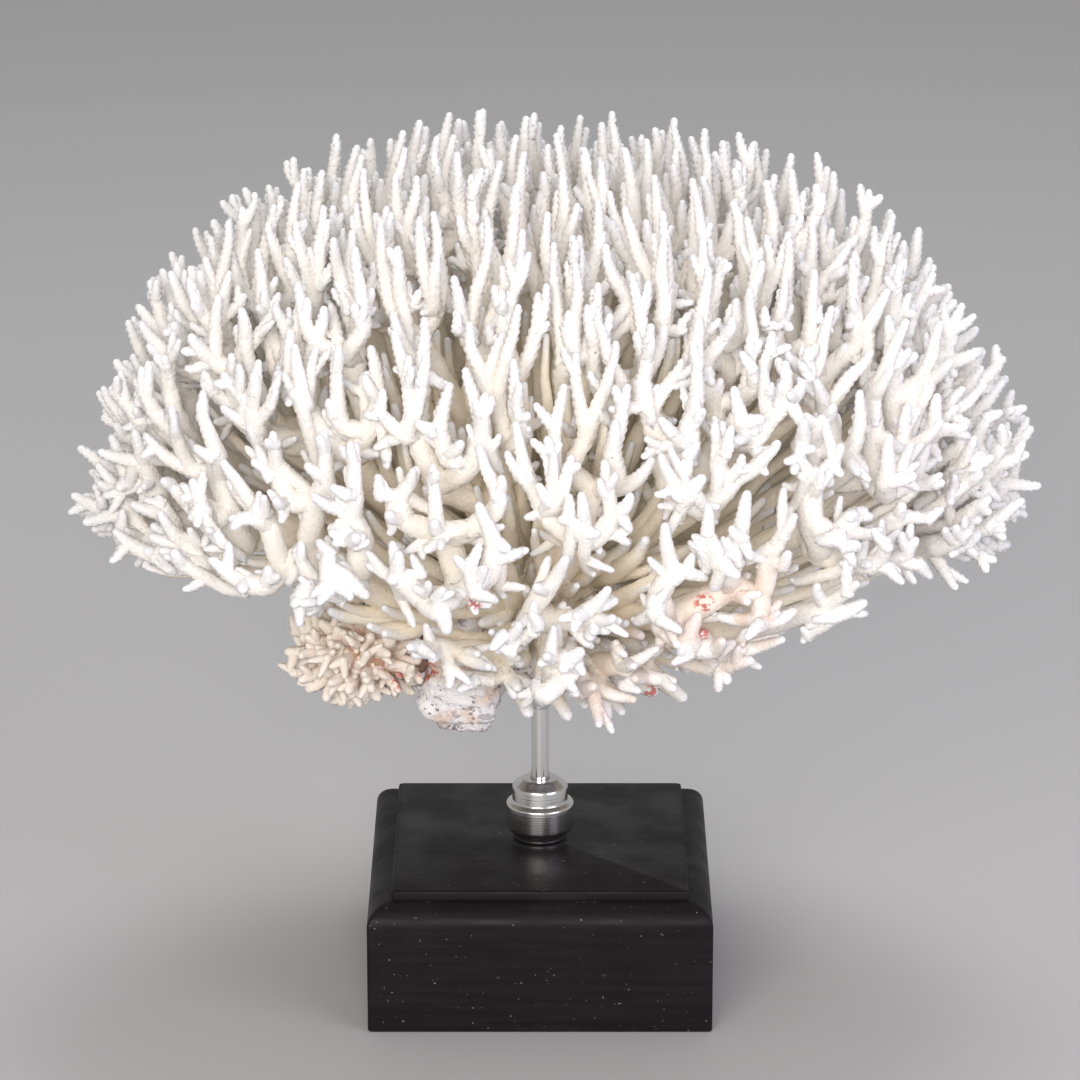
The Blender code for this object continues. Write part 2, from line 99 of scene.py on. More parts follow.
# What only the looks have: fine wander, companions, prongs, twigs and inner limbs
WANDER_HEIGHT = 0.0013
WANDER_LENGTH = 0.013
STEP = 0.0016
LEAVING = 0.45
FINGER_TURN = 0.45
FINGER_TAPER = ((0.0, 1.08), (0.5, 0.92), (0.85, 0.64), (1.0, 0.42))
LOW_FINGER_TAPER = ((0.0, 1.0), (0.5, 0.80), (0.85, 0.58), (1.0, 0.38))
COMPANIONS = (0.35, 0.45, 0.20)
COMPANION_AT = (0.0, 0.4)
COMPANION_REACH = (0.80, 0.97)
COMPANION_ASIDE = (0.0055, 0.0085)
COMPANION_SHARE = 0.88
COMPANION_TURN = 0.4
PRONGS = (0.40, 0.38, 0.22)
PRONG_LENGTH = (0.006, 0.014)
PRONG_AT = (0.30, 0.85)
PRONG_ANGLE = (math.radians(20), math.radians(42))
LOW_PRONG_LENGTH = (0.006, 0.012)
LOW_PRONG_ANGLE = (math.radians(35), math.radians(68))
PRONG_SHARE = 0.78
SHORTEST_PRONG = 0.005
OFFSHOOT_BACK = 0.6
OFFSHOOT_TURN = 0.7
TWIG_CHANCE = 0.80
TWIG_LENGTH = (0.008, 0.020)
TWIG_ANGLE = (math.radians(30), math.radians(60))
TWIG_AT = (0.1, 0.9)
TWIG_SHARE = 0.9
TWIG_PRONG_AT = (0.4, 0.7)
TWIG_PRONG_REACH = 0.5
TWIG_PRONG_SHARE = 0.7
INNER_LIMBS = 18
INNER_REACH = (0.50, 0.86)
INNER_RADIUS = (0.0034, 0.0050)
INNER_FOOT = 1.3
INNER_TAPER = (1.1, 0.8, 0.4)
INNER_ASIDE = 0.006
INNER_SHARE = 0.6

# A tube's cups, sides and rings
CUP_HEIGHT = 0.00095
LOW_CUP_HEIGHT = 0.00035
SIDES = 6
THIN_SIDES = 5
THICK_SIDES = 8
THICK_FROM = 0.0045
THIN_BELOW = 0.0025
SPACINGS = ((0.45, 0.0050), (0.68, 0.0033), (0.86, 0.00175), (1.0, 0.00142))
END_RINGS = (0.5, 0.12)
TANGENT_REACH = 0.0015
CUP_LEAN = 0.9
CUP_SPREAD = (0.6, 1.0)
CUP_HOLLOW = 0.35
CUP_FADE = 0.003
TIP_FADE = 0.014
ROOT_INSIDE = 0.006
ROOT_FLARE = 1.5

# The holdfast: fineness of its skin, widths and depths of its relief, its layers and its buds
HOLDFAST_VOXEL = 0.0016
NOISE_GAIN = 1.6
RELIEFS = ((0.016, 0.0026), (0.0065, 0.0019), (0.0028, 0.0010))
LAYER_STRETCH = (0.014, 0.014, 0.0034)
LAYER_DEPTH = 0.0022
STUB_LEFT_OF = -0.012
STUB_BELOW = 0.166
STUB_BLEND = 0.010
CREAM_ABOVE = (0.172, 0.190)
BUDS = 190
BUD_SPACING = 0.0085
BUD_LENGTH = (0.007, 0.020)
BUD_RADIUS = (0.0026, 0.0040)
BUD_ELEVATIONS = (-24, 75)
BUD_LEAN = 0.25
BUD_SLANT = 0.4
BUD_INSIDE = 0.005
BUD_TAPER = (1.4, 1.2, 1.0, 0.7)
BUD_SHARE = 0.5
BUD_TRIES = 12

# The small dense colony, low on the left
CLUSTER_MIDDLE = np.array([-0.0770, -0.0240, 0.1580])
CLUSTER_SIZE = np.array([0.0225, 0.0190, 0.0130])
CLUSTER_FINGER = 0.0085
CLUSTER_TRIES = 900
CLUSTER_SPACING = 0.0074
CLUSTER_RADIUS = (0.0022, 0.0031)
CLUSTER_CUPS = 0.00035
CLUSTER_OPEN = 0.55
CLUSTER_RAGGED = (0.74, 1.14)
CLUSTER_ROOTS = (0.32, 0.38)
CLUSTER_FOOT = 1.6
CLUSTER_TAPER = (1.5, 1.2, 1.0, 0.6)
CLUSTER_TURN = 0.5
CLUSTER_PRONGS = 3
CLUSTER_PRONG_AT = (0.3, 0.9)
CLUSTER_PRONG_ANGLE = (0.6, 1.2)
CLUSTER_PRONG_LENGTH = (0.003, 0.008)
CLUSTER_PRONG_SHARE = 0.85
CLUSTER_LUMP = 0.86
CLUSTER_DEPTH = 0.25
CLUSTER_NECK = 0.0125
CLUSTER_NECK_SPREAD = 1.2
CLUSTER_NECK_INSIDE = 0.010

# The stand: how far each edge is eased off is given inwards from a face and up or down from an end
BASE_WIDTH = 0.150
BASE_HEIGHT = 0.062
PLATE_WIDTH = 0.129
PLATE_STEP = 0.004
OVOLO_HEIGHT = 0.0095
OVOLO_STEPS = 12
CORNER_RADIUS = 0.0016
FACE_RINGS = (0.33, 0.66, 1.0)
BOTTOM_EASE = ((0.0009, 0.0), (0.0002, 0.0004), (0.0, 0.0012))
TOP_EASE = ((0.0, 0.0012), (0.0003, 0.0004), (0.0011, 0.0))
SHARP_FROM = math.radians(50)
SHARP_ON_BASE_FROM = math.radians(40)
ROD_SIDES = 64
COLLAR_SIDES = 96
COLLAR_EASE = 0.0011
GLUE_SIDES = 48
GLUE_EASE = 0.0018
GLUE_WOBBLE = 0.05
GLUE_LOBES = 3
GLUE_TWIST = 900
ROD_RADIUS = 0.004
ROD_TOP = 0.146
FOOT = BASE_HEIGHT + 0.0003
COLLAR = (
    (0.0043, 0.0275),
    (0.0080, 0.0275),
    (0.0123, 0.0243),
    (0.0123, 0.0172),
    (0.0145, 0.0165),
    (0.0150, 0.0158),
    (0.0150, 0.0050),
    (0.0122, 0.0018),
    (0.0122, 0.0000),
    (0.0043, 0.0000),
)
GLUE = ((0.0041, 0.1368), (0.0064, 0.1366), (0.0062, 0.1300), (0.0050, 0.1245), (0.0041, 0.1233))


def colony_reach(elevation, azimuth):
    """How far the tips reach from the centre; azimuth 0 is the front, and it grows to the right."""
    width = np.where(azimuth > 0, REACH_RIGHT, REACH_LEFT)
    depth = np.where(np.abs(azimuth) < math.pi / 2, REACH_FRONT, REACH_BACK)
    across = np.hypot(np.sin(azimuth) / width, np.cos(azimuth) / depth) * np.cos(elevation)
    upward = np.sin(elevation).clip(0) / REACH_UP
    reach = (across**REACH_POWER + upward**REACH_POWER) ** (-1 / REACH_POWER)
    return reach * np.interp(elevation, LOW_REACH_BETWEEN, (LOW_REACH, 1.0))


def raised(elevation, share):
    """Where the upward bend takes an elevation, at a share of the way from the core to the tips."""
    lift = UPWARD_BEND * (share - 0.5) * np.sqrt(share)
    return elevation + lift * np.sin(2 * np.maximum(elevation, 0.0))


def unraised(elevation):
    """The elevation that the bend takes to this one at the tips."""
    before = elevation
    for _ in range(UNBENDING_ROUNDS):
        before = before - (raised(before, 1.0) - elevation) * UNBENDING_STEP
    return before


def polar(reach, elevation, azimuth):
    """Points from the colony's centre."""
    flat = np.cos(elevation)
    ways = np.stack([flat * np.sin(azimuth), -flat * np.cos(azimuth), np.sin(elevation)], axis=1)
    return ways * reach[:, None]


def make_colony_tips():
    """Finger tips spread over the colony's surface, none too near another, as points before the bend."""
    rng = np.random.default_rng(SEED)
    elevation = np.arcsin(rng.uniform(math.sin(LOW_REACH_BETWEEN[0]), 1.0, TIP_TRIES))
    azimuth = rng.uniform(-math.pi, math.pi, TIP_TRIES)
    reach = colony_reach(elevation, azimuth) * (1 + RAGGED * rng.uniform(-1, 1, TIP_TRIES))
    lowest = np.interp(np.degrees(azimuth), LOWEST_AZIMUTHS, LOWEST_TIPS)
    inside = np.degrees(elevation) > lowest
    elevation, azimuth, reach = elevation[inside], azimuth[inside], reach[inside]
    places = polar(reach, elevation, azimuth)
    spacing = TIP_SPACING + (LOW_TIP_SPACING - TIP_SPACING) * lowness(places)
    kept = []
    for i, place in enumerate(places):
        if not kept or np.linalg.norm(places[kept] - place, axis=1).min() > spacing[i]:
            kept.append(i)
    return polar(reach[kept], unraised(elevation[kept]), azimuth[kept])


def lowness(points):
    """1 for points low on the colony's front, where the branches are thick and open, and 0 above."""
    reach = np.linalg.norm(points, axis=1)
    elevation = np.arcsin(points[:, 2] / reach)
    facing = -points[:, 1] / reach
    front = ((facing - FRONT_FROM[0]) / (FRONT_FROM[1] - FRONT_FROM[0])).clip(0, 1)
    return ((LOW_BELOW[1] - elevation) / (LOW_BELOW[1] - LOW_BELOW[0])).clip(0, 1) * front


def low_blend(tips, usual, low):
    """A measure of a limb: its usual value, or the one for limbs low on the front, or between the two."""
    return usual + (low - usual) * float(lowness(tips).mean())


def group_tips(tips, count):
    """Parts the tips into compact groups, one for each branch, and gives the branches' directions."""
    headings = tips / np.linalg.norm(tips, axis=1)[:, None]
    centres = headings[[headings[:, 2].argmax()]]
    while len(centres) < count:
        nearness = (headings @ centres.T).max(axis=1)
        centres = np.vstack([centres, headings[nearness.argmin()]])
    for _ in range(GROUPING_ROUNDS):
        owner = (headings @ centres.T).argmax(axis=1)
        sums = np.array([headings[owner == i].sum(axis=0) for i in range(count)])
        centres = sums / np.linalg.norm(sums, axis=1)[:, None]
    owner = (headings @ centres.T).argmax(axis=1)
    return [tips[owner == i] for i in range(count)], centres


def hollowed(tips):
    """The tips of a group without those in the hollow below the colony."""
    azimuth = np.degrees(np.arctan2(tips[:, 0], -tips[:, 1]))
    elevation = np.degrees(np.arcsin(tips[:, 2] / np.linalg.norm(tips, axis=1)))
    return tips[elevation > np.interp(azimuth, HOLLOW_AZIMUTHS, HOLLOW_TIPS)]


def halves_of(tips):
    """Splits a group of tips in two along its longest direction."""
    offset = tips - tips.mean(axis=0)
    _, _, axes = np.linalg.svd(offset, full_matrices=False)
    order = np.argsort(offset @ axes[0])
    middle = len(tips) // 2
    return tips[order[:middle]], tips[order[middle:]]


def bent(points):
    """Bends the space round the colony's centre, as in the solids, with a finer wander on top."""
    reach = np.linalg.norm(points, axis=1)
    azimuth = np.arctan2(points[:, 0], -points[:, 1])
    elevation = np.arctan2(points[:, 2], np.hypot(points[:, 0], points[:, 1]))
    share = reach_share(points)
    turned = raised(elevation, share)
    moved = polar(reach, turned, azimuth)
    rise = np.minimum(share * WAVE_RISE, 1.0)[:, None]
    drift = drifted(points, WAVE_LENGTH) * WAVE_HEIGHT * rise
    wander = drifted(points, WANDER_LENGTH) * WANDER_HEIGHT * rise
    return HEART + moved + drift + wander


def drifted(points, length):
    """Smooth noise as a vector at each point."""
    return np.array([noise.noise_vector(Vector(p)) for p in points / length])


def reach_share(points):
    """How far each point, before the bend, is on its way from the core, 0, to the tips, 1."""
    azimuth = np.arctan2(points[:, 0], -points[:, 1])
    elevation = np.arctan2(points[:, 2], np.hypot(points[:, 0], points[:, 1]))
    furthest = colony_reach(raised(elevation, 1.0), azimuth)
    reach = np.linalg.norm(points, axis=1)
    return ((reach - CORE_RADIUS) / (furthest - CORE_RADIUS)).clip(0)


def unit(vectors):
    """Vectors of length one."""
    return vectors / np.linalg.norm(vectors, axis=-1, keepdims=True)


class Grower:
    """Grows the tubes of one branch: middle lines before the bend, with the half thickness along them."""

    def __init__(self, seed):
        self.random = random.Random(seed)
        self.tubes = []
        self.inner_tubes = []

    def grow(self, tips, line, radii):
        """Carries a tube on to the fork that its tips need, and both forks on from there."""
        if len(tips) == 1:
            self.finger(tips, line, radii)
            return
        first, second = halves_of(tips)
        apart = np.linalg.norm(first.mean(axis=0) - second.mean(axis=0))
        heading = tips.mean(axis=0)
        reach = np.linalg.norm(heading)
        fork = reach - 0.5 * apart / math.tan(low_blend(tips, FORK_HALF_ANGLE, LOW_FORK_HALF_ANGLE))
        lower = min(np.linalg.norm(first.mean(axis=0)), np.linalg.norm(second.mean(axis=0)))
        fork = max(min(fork, lower - LEAST_RISE * apart), np.linalg.norm(line[-1]) + SHORTEST_LIMB)
        point = heading / reach * fork
        radius = min(finger_radius(tips) * len(tips) ** THICKENING, fork * LIMB_SHARE)
        ahead = unit(point - line[-1])
        before = len(line)
        line, radii = extend(line, radii, point, ahead, (radius,))
        if self.random.random() < TWIG_CHANCE:
            self.twig(line[before:], ahead, finger_radius(tips), float(lowness(tips).mean()))
        turns = [unit(part.mean(axis=0) - point) @ ahead for part in (first, second)]
        straight, aside = (first, second) if turns[0] > turns[1] else (second, first)
        start = np.array([point - ahead * radius * SIDE_FORK_BACK, point])
        widest = finger_radius(aside) * len(aside) ** THICKENING * SIDE_FORK_LIMIT
        thick = min(radius, widest) * SIDE_FORK_SHARE
        self.grow(straight, line, radii)
        self.grow(aside, start, np.array([thick, thick]))

    def finger(self, tips, line, radii):
        """Ends a tube in one finger, with companions beside it and short prongs at its side."""
        tip, low = tips[0], float(lowness(tips)[0])
        own = finger_radius(tips)
        ahead = unit(tip - line[-1])
        before = len(line)
        arriving = unit((1 - FINGER_TURN) * ahead + FINGER_TURN * unit(tip))
        line, radii = extend(line, radii, tip, arriving, own * blend_taper(low))
        self.tubes.append((line, radii, low))
        curve = line[before:]
        for _ in range(self.random.choices((0, 1, 2), COMPANIONS)[0]):
            self.companion(curve, ahead, own * COMPANION_SHARE, low)
        self.prongs(curve, ahead, own * PRONG_SHARE, low, PRONGS)

    def companion(self, curve, ahead, radius, low):
        """A finger that leaves another near its foot and runs beside it, nearly parallel."""
        start = self.pick(curve, *COMPANION_AT)
        tip = curve[-1] * self.random.uniform(*COMPANION_REACH)
        tip = tip + self.aside(ahead) * self.random.uniform(*COMPANION_ASIDE)
        off = unit(tip - start)
        line = np.array([start - off * radius * OFFSHOOT_BACK, start])
        arriving = unit((1 - COMPANION_TURN) * ahead + COMPANION_TURN * unit(tip))
        line, radii = extend(line, np.array([radius, radius]), tip, arriving, radius * blend_taper(low))
        self.tubes.append((line, radii, low))
        self.prongs(line[2:], ahead, radius * PRONG_SHARE, low, PRONGS)

    def prongs(self, curve, ahead, radius, low, chances):
        """Up to two short side prongs along a finger."""
        length = np.linalg.norm(curve[-1] - curve[0])
        for _ in range(self.random.choices((0, 1, 2), chances)[0]):
            at = self.random.uniform(*PRONG_AT)
            point = curve[int(at * (len(curve) - 1))]
            reach = self.random.uniform(*mixed(PRONG_LENGTH, LOW_PRONG_LENGTH, low))
            reach = min(reach, max(length * (1.05 - at), SHORTEST_PRONG))
            angle = self.random.uniform(*mixed(PRONG_ANGLE, LOW_PRONG_ANGLE, low))
            self.offshoot(point, ahead, angle, reach, radius, low)

    def twig(self, curve, ahead, radius, low):
        """A short finger with a prong, on the side of a limb."""
        angle = self.random.uniform(*TWIG_ANGLE)
        reach = self.random.uniform(*TWIG_LENGTH)
        line = self.offshoot(self.pick(curve, *TWIG_AT), ahead, angle, reach, radius * TWIG_SHARE, low)
        point, onward = self.pick(line, *TWIG_PRONG_AT), unit(line[-1] - line[0])
        self.offshoot(point, onward, angle, reach * TWIG_PRONG_REACH, radius * TWIG_PRONG_SHARE, low)

    def offshoot(self, point, ahead, angle, reach, radius, low):
        """A short finger that leaves another at an angle and curves back towards its heading."""
        off = unit(ahead * math.cos(angle) + self.aside(ahead) * math.sin(angle))
        start = np.array([point - off * radius * OFFSHOOT_BACK, point])
        end = point + off * (reach + radius)
        arriving = unit(off + ahead * OFFSHOOT_TURN)
        line, radii = extend(start, np.array([radius, radius]), end, arriving, radius * blend_taper(low))
        self.tubes.append((line, radii, low))
        return line

    def inner_limbs(self, tips, direction):
        """Plain limbs inside the branch, which fill its depths."""
        for tip in self.random.sample(list(tips), min(INNER_LIMBS, len(tips))):
            foot = unit(direction + unit(tip))
            radius = self.random.uniform(*INNER_RADIUS)
            start = np.array([foot * (CORE_RADIUS - ROOT_INSIDE), foot * CORE_RADIUS])
            end = tip * self.random.uniform(*INNER_REACH) + self.aside(foot) * INNER_ASIDE
            swell = radius * np.array(INNER_TAPER)
            line, radii = extend(start, np.full(2, radius * INNER_FOOT), end, unit(tip), swell)
            self.inner_tubes.append((line, radii))

    def pick(self, curve, low, high):
        """A point somewhere along a curve, between two shares of the way."""
        return curve[int(self.random.uniform(low, high) * (len(curve) - 1))]

    def aside(self, ahead):
        """Any direction square to a heading."""
        across = unit(np.array(Vector(ahead).orthogonal()))
        around = self.random.uniform(0, 2 * math.pi)
        return across * math.cos(around) + np.cross(ahead, across) * math.sin(around)


def mixed(usual, low_pair, low):
    """A range between the usual one and the one for fingers low on the front."""
    return [a + (b - a) * low for a, b in zip(usual, low_pair)]


def finger_radius(tips):
    """Half thickness of one finger among these tips."""
    return low_blend(tips, FINGER_RADIUS, LOW_FINGER_RADIUS)


def blend_taper(low):
    """Shares of a finger's radius at ten places along it."""
    along = np.linspace(0.1, 1.0, 10)
    usual = np.interp(along, *zip(*FINGER_TAPER))
    return usual + (np.interp(along, *zip(*LOW_FINGER_TAPER)) - usual) * low


def extend(line, radii, end, arriving, thickness):
    """Carries a middle line on along a smooth curve, with the given thicknesses spread along it."""
    start = line[-1]
    length = np.linalg.norm(end - start)
    ahead = (end - start) / length
    leaving = unit(ahead * (1 - LEAVING) + unit(line[-1] - line[-2]) * LEAVING)
    count = max(3, int(length / STEP))
    t = np.linspace(0, 1, count + 1)[1:, None]
    curve = (2 * t**3 - 3 * t**2 + 1) * start + (t**3 - 2 * t**2 + t) * leaving * length
    curve = curve + (3 * t**2 - 2 * t**3) * end + (t**3 - t**2) * arriving * length
    places = np.linspace(0, 1, len(thickness) + 1)
    swell = np.interp(t[:, 0], places, [radii[-1], *thickness])
    return np.vstack([line, curve]), np.concatenate([radii, swell])


class Skin:
    """Gathers tubes in one mesh: each is closed, and starts inside the one that it leaves."""

    def __init__(self):
        self.random = np.random.default_rng(SEED)
        self.points, self.share, self.end, self.faces = [], [], [], []
        self.count = 0

    def add_tube(self, path, radii, share, cup, sides):
        """Adds one tube along a path, with a rounded end and staggered rows of cups."""
        along = np.concatenate([[0], np.cumsum(np.linalg.norm(np.diff(path, axis=0), axis=1))])
        length, end_radius = along[-1], radii[-1]
        places = ring_places(along, share, length - end_radius)
        places = np.concatenate([places, length - end_radius * np.array(END_RINGS)])
        centres = along_path(places, along, path)
        after = along_path(places + TANGENT_REACH, along, path)
        tangents = unit(after - along_path(places - TANGENT_REACH, along, path))
        across = unit(np.array(Vector(path[-1] - path[0]).orthogonal()))
        across = unit(across - tangents * (tangents @ across)[:, None])
        aside = np.cross(tangents, across)
        count = len(places)
        rounding = np.sqrt(1 - (1 - ((length - places) / end_radius).clip(0, 1)) ** 2)
        swell = np.interp(places, along, radii) * rounding
        cups = self.cups(count, sides, places, length, cup)
        turns = np.arange(sides)[None] * 2 * math.pi / sides + self.random.uniform(0, 6)
        wide = (swell[:, None] + cups)[..., None]
        out = (np.cos(turns)[..., None] * across[:, None] + np.sin(turns)[..., None] * aside[:, None]) * wide
        rings = centres[:, None] + out + tangents[:, None] * (cups * CUP_LEAN)[..., None]
        own_share = np.interp(places, along, share)
        near_tip = 1 - ((length - places) / TIP_FADE).clip(0, 1)
        self.points += [rings.reshape(-1, 3), path[:1], path[-1:]]
        self.share += [np.repeat(own_share, sides), own_share[:1], own_share[-1:]]
        self.end += [np.repeat(near_tip, sides), near_tip[:1], near_tip[-1:]]
        self.join(count, sides)

    def join(self, count, sides):
        """Faces of the last tube: four-sided between its rings, three-sided at its two ends."""
        ids = self.count + np.arange(count * sides).reshape(count, sides)
        turned = np.roll(ids, -1, axis=1)
        quads = np.stack([ids[:-1], turned[:-1], turned[1:], ids[1:]], axis=-1).reshape(-1, 4)
        first, last = self.count + count * sides, self.count + count * sides + 1
        caps = [[turned[0, i], ids[0, i], first] for i in range(sides)]
        caps += [[ids[-1, i], turned[-1, i], last] for i in range(sides)]
        self.faces += quads.tolist() + caps
        self.count += count * sides + 2

    def cups(self, count, sides, places, length, height):
        """How far each point of a tube's rings stands out: small cups in staggered rows, none at its tip."""
        order = np.arange(count * sides).reshape(count, sides)
        parity = (order + order // sides * (1 - sides % 2)) % 2
        heights = parity * self.random.uniform(*CUP_SPREAD, (count, sides)) - CUP_HOLLOW
        fade = ((length - places) / CUP_FADE).clip(0, 1)
        return heights * height * fade[:, None]

    def piece(self, name):
        """The finished mesh as an object, with what its material needs to know at each point."""
        mesh = bpy.data.meshes.new(name)
        mesh.from_pydata(np.vstack(self.points).tolist(), [], self.faces)
        set_float(mesh, "share", np.concatenate(self.share))
        set_float(mesh, "tip", np.concatenate(self.end))
        mesh.shade_smooth()
        return add_piece(name, mesh)


def along_path(places, along, path):
    """Points of a path at these lengths along it."""
    return np.stack([np.interp(places, along, path[:, i]) for i in range(3)], axis=1)


def ring_places(along, share, stop):
    """Where a tube's rings go: far apart deep in the colony, and close together near its tips."""
    spacing = np.interp(share, *zip(*SPACINGS))
    rows = np.concatenate([[0], np.cumsum(np.diff(along) / spacing[1:])])
    last_row = np.interp(stop, along, rows)
    return np.interp(np.linspace(0, last_row, max(2, int(last_row)) + 1), rows, along)


def add_piece(name, mesh):
    """A mesh as an object of the scene."""
    piece = bpy.data.objects.new(name, mesh)
    bpy.context.scene.collection.objects.link(piece)
    return piece


def finish_piece(piece, material, slot, *nodes):
    """Gives a piece its material and its body, and hides the CAD nodes that it stands for."""
    piece.data.materials.clear()
    piece.data.materials.append(material)
    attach(piece, "root")
    if nodes:
        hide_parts(*nodes)


def make_branches(groups, directions, material):
    """The main branches, each grown from its group of tips."""
    for number, (tips, direction) in enumerate(zip(map(hollowed, groups), directions), 1):
        grower = Grower(SEED * 100 + number)
        inside = direction * (CORE_RADIUS - ROOT_INSIDE)
        neck = direction * (CORE_RADIUS + ROOT_LENGTH)
        grower.grow(tips, np.array([inside, neck]), np.array([ROOT_RADIUS * ROOT_FLARE, ROOT_RADIUS]))
        grower.inner_limbs(tips, direction)
        skin = Skin()
        for line, radii, low in grower.tubes:
            cup = CUP_HEIGHT + (LOW_CUP_HEIGHT - CUP_HEIGHT) * low
            skin.add_tube(bent(line), radii, reach_share(line), cup, sides_of(radii[0]))
        for line, radii in grower.inner_tubes:
            skin.add_tube(bent(line), radii, reach_share(line) * INNER_SHARE, 0.0, SIDES)
        node = f"branch_{number:02d}"
        finish_piece(skin.piece(f"{node}_fingers"), material, "coral", node)


def sides_of(radius):
    """How many sides a tube gets for its half thickness."""
    if radius < THIN_BELOW:
        return THIN_SIDES
    return THICK_SIDES if radius > THICK_FROM else SIDES


def roughened(points, normals, reliefs, seed):
    """Points moved along their normals by layers of noise: broad lumps, knobs and grains."""
    depth = np.zeros(len(points))
    for number, (length, height) in enumerate(reliefs):
        shift = Vector((seed + number, 0.0, 0.0))
        values = [noise.noise(Vector(p) + shift) for p in points / length]
        depth += height * np.array(values) * NOISE_GAIN
    return points + normals * depth[:, None]


def mesh_points(mesh, key="co"):
    """A mesh's points, or their normals."""
    values = np.empty(len(mesh.vertices) * 3, np.float32)
    mesh.vertices.foreach_get(key, values)
    return values.reshape(-1, 3).astype(float)


def set_float(mesh, label, values):
    """Gives each point of a mesh a number that its material reads."""
    layer = mesh.attributes.new(label, "FLOAT", "POINT")
    layer.data.foreach_set("value", np.asarray(values, np.float32))


def roughen(piece, seed):
    """Gives a piece one fine closed skin and a rough relief, and returns the relief's directions."""
    remesh = piece.modifiers.new("Skin", "REMESH")
    remesh.mode = "VOXEL"
    remesh.voxel_size = HOLDFAST_VOXEL
    graph = bpy.context.evaluated_depsgraph_get()
    mesh = bpy.data.meshes.new_from_object(piece.evaluated_get(graph))
    piece.modifiers.clear()
    piece.data = mesh
    normals = mesh_points(mesh, "normal")
    points = roughened(mesh_points(mesh), normals, RELIEFS, seed)
    mesh.vertices.foreach_set("co", points.astype(np.float32).ravel())
    mesh.shade_smooth()
    mesh.update()
    return normals


def make_holdfast(material):
    """The rock and the core in one rough skin, layered where the dead stub sticks out at the front left."""
    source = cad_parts["coral_holdfast"]
    piece = add_piece("holdfast_rock", source.data.copy())
    piece.matrix_world = source.matrix_world.copy()
    normals = roughen(piece, 3.0)
    mesh = piece.data
    points = mesh_points(mesh)
    leftward = smooth((STUB_LEFT_OF - points[:, 0]) / STUB_BLEND)
    stub = leftward * smooth((STUB_BELOW - points[:, 2]) / STUB_BLEND)
    layers = np.array([noise.noise(Vector(p)) for p in points / LAYER_STRETCH]) * LAYER_DEPTH * stub
    mesh.vertices.foreach_set("co", (points + normals * layers[:, None]).astype(np.float32).ravel())
    set_float(mesh, "share", smooth((points[:, 2] - CREAM_ABOVE[0]) / (CREAM_ABOVE[1] - CREAM_ABOVE[0])))
    mesh.update()
    finish_piece(piece, material, "holdfast", "coral_holdfast")


def smooth(t):
    """A share that eases in and out, held between 0 and 1."""
    t = t.clip(0, 1)
    return t * t * (3 - 2 * t)


def make_buds(directions, material):
    """Short stubby fingers on the core, between the branches' roots."""
    rng = np.random.default_rng(SEED + 1)
    skin = Skin()
    taken = [d * CORE_RADIUS for d in directions]
    for _ in range(BUDS * BUD_TRIES):
        elevation = math.radians(rng.uniform(*BUD_ELEVATIONS))
        azimuth = rng.uniform(-math.pi, math.pi)
        way = polar(np.ones(1), np.array([elevation]), np.array([azimuth]))[0]
        if min(np.linalg.norm(way * CORE_RADIUS - other) for other in taken) < BUD_SPACING:
            continue
        taken.append(way * CORE_RADIUS)
        reach = rng.uniform(*BUD_LENGTH)
        aside = unit(rng.normal(size=3)) * BUD_LEAN
        start = np.array([way * (CORE_RADIUS - BUD_INSIDE), way * CORE_RADIUS])
        end = (way + aside * BUD_SLANT) * (CORE_RADIUS + reach)
        radius = rng.uniform(*BUD_RADIUS)
        swell = radius * np.array(BUD_TAPER)
        line, radii = extend(start, swell[:2], end, unit(way + aside), swell[2:])
        share = np.linspace(0, BUD_SHARE, len(line))
        skin.add_tube(bent(line), radii, share, LOW_CUP_HEIGHT, THICK_SIDES)
        if len(taken) > BUDS + len(directions):
            break
    finish_piece(skin.piece("holdfast_buds"), material, "coral", "coral_holdfast")


def make_cluster(material):
    """The small dense colony: a rough lump on a broad neck, crowded with short forked fingers."""
    rng = np.random.default_rng(SEED + 2)
    grower = Grower(SEED + 2)
    skin = Skin()
    to_core = unit(HEART - CLUSTER_MIDDLE)
    reach = CLUSTER_SIZE + CLUSTER_FINGER
    kept = np.zeros((0, 3))
    for _ in range(CLUSTER_TRIES):
        way = unit(rng.normal(size=3))
        tip = way * reach * rng.uniform(*CLUSTER_RAGGED)
        if way @ to_core > CLUSTER_OPEN:
            continue
        if len(kept) and np.linalg.norm(kept - tip, axis=1).min() < CLUSTER_SPACING:
            continue
        kept = np.vstack([kept, tip])
        radius = rng.uniform(*CLUSTER_RADIUS)
        start = CLUSTER_MIDDLE + way * reach * np.array(CLUSTER_ROOTS)[:, None]
        arriving = unit(way + rng.normal(size=3) * CLUSTER_TURN)
        swell = radius * np.array(CLUSTER_TAPER)
        foot = np.full(2, radius * CLUSTER_FOOT)
        line, radii = extend(start, foot, CLUSTER_MIDDLE + tip, arriving, swell)
        grower.tubes.append((line, radii, 0.0))
        for _ in range(CLUSTER_PRONGS):
            angle, length = rng.uniform(*CLUSTER_PRONG_ANGLE), rng.uniform(*CLUSTER_PRONG_LENGTH)
            point = grower.pick(line, *CLUSTER_PRONG_AT)
            grower.offshoot(point, way, angle, length, radius * CLUSTER_PRONG_SHARE, 0.0)
    for line, radii, _ in grower.tubes:
        share = np.linalg.norm((line - CLUSTER_MIDDLE) / reach, axis=1).clip(0, 1)
        skin.add_tube(line, radii, share, CLUSTER_CUPS, THIN_SIDES)
    finish_piece(skin.piece("cluster_fingers"), material, "cluster", "coral_cluster")
    make_cluster_body(material, to_core)


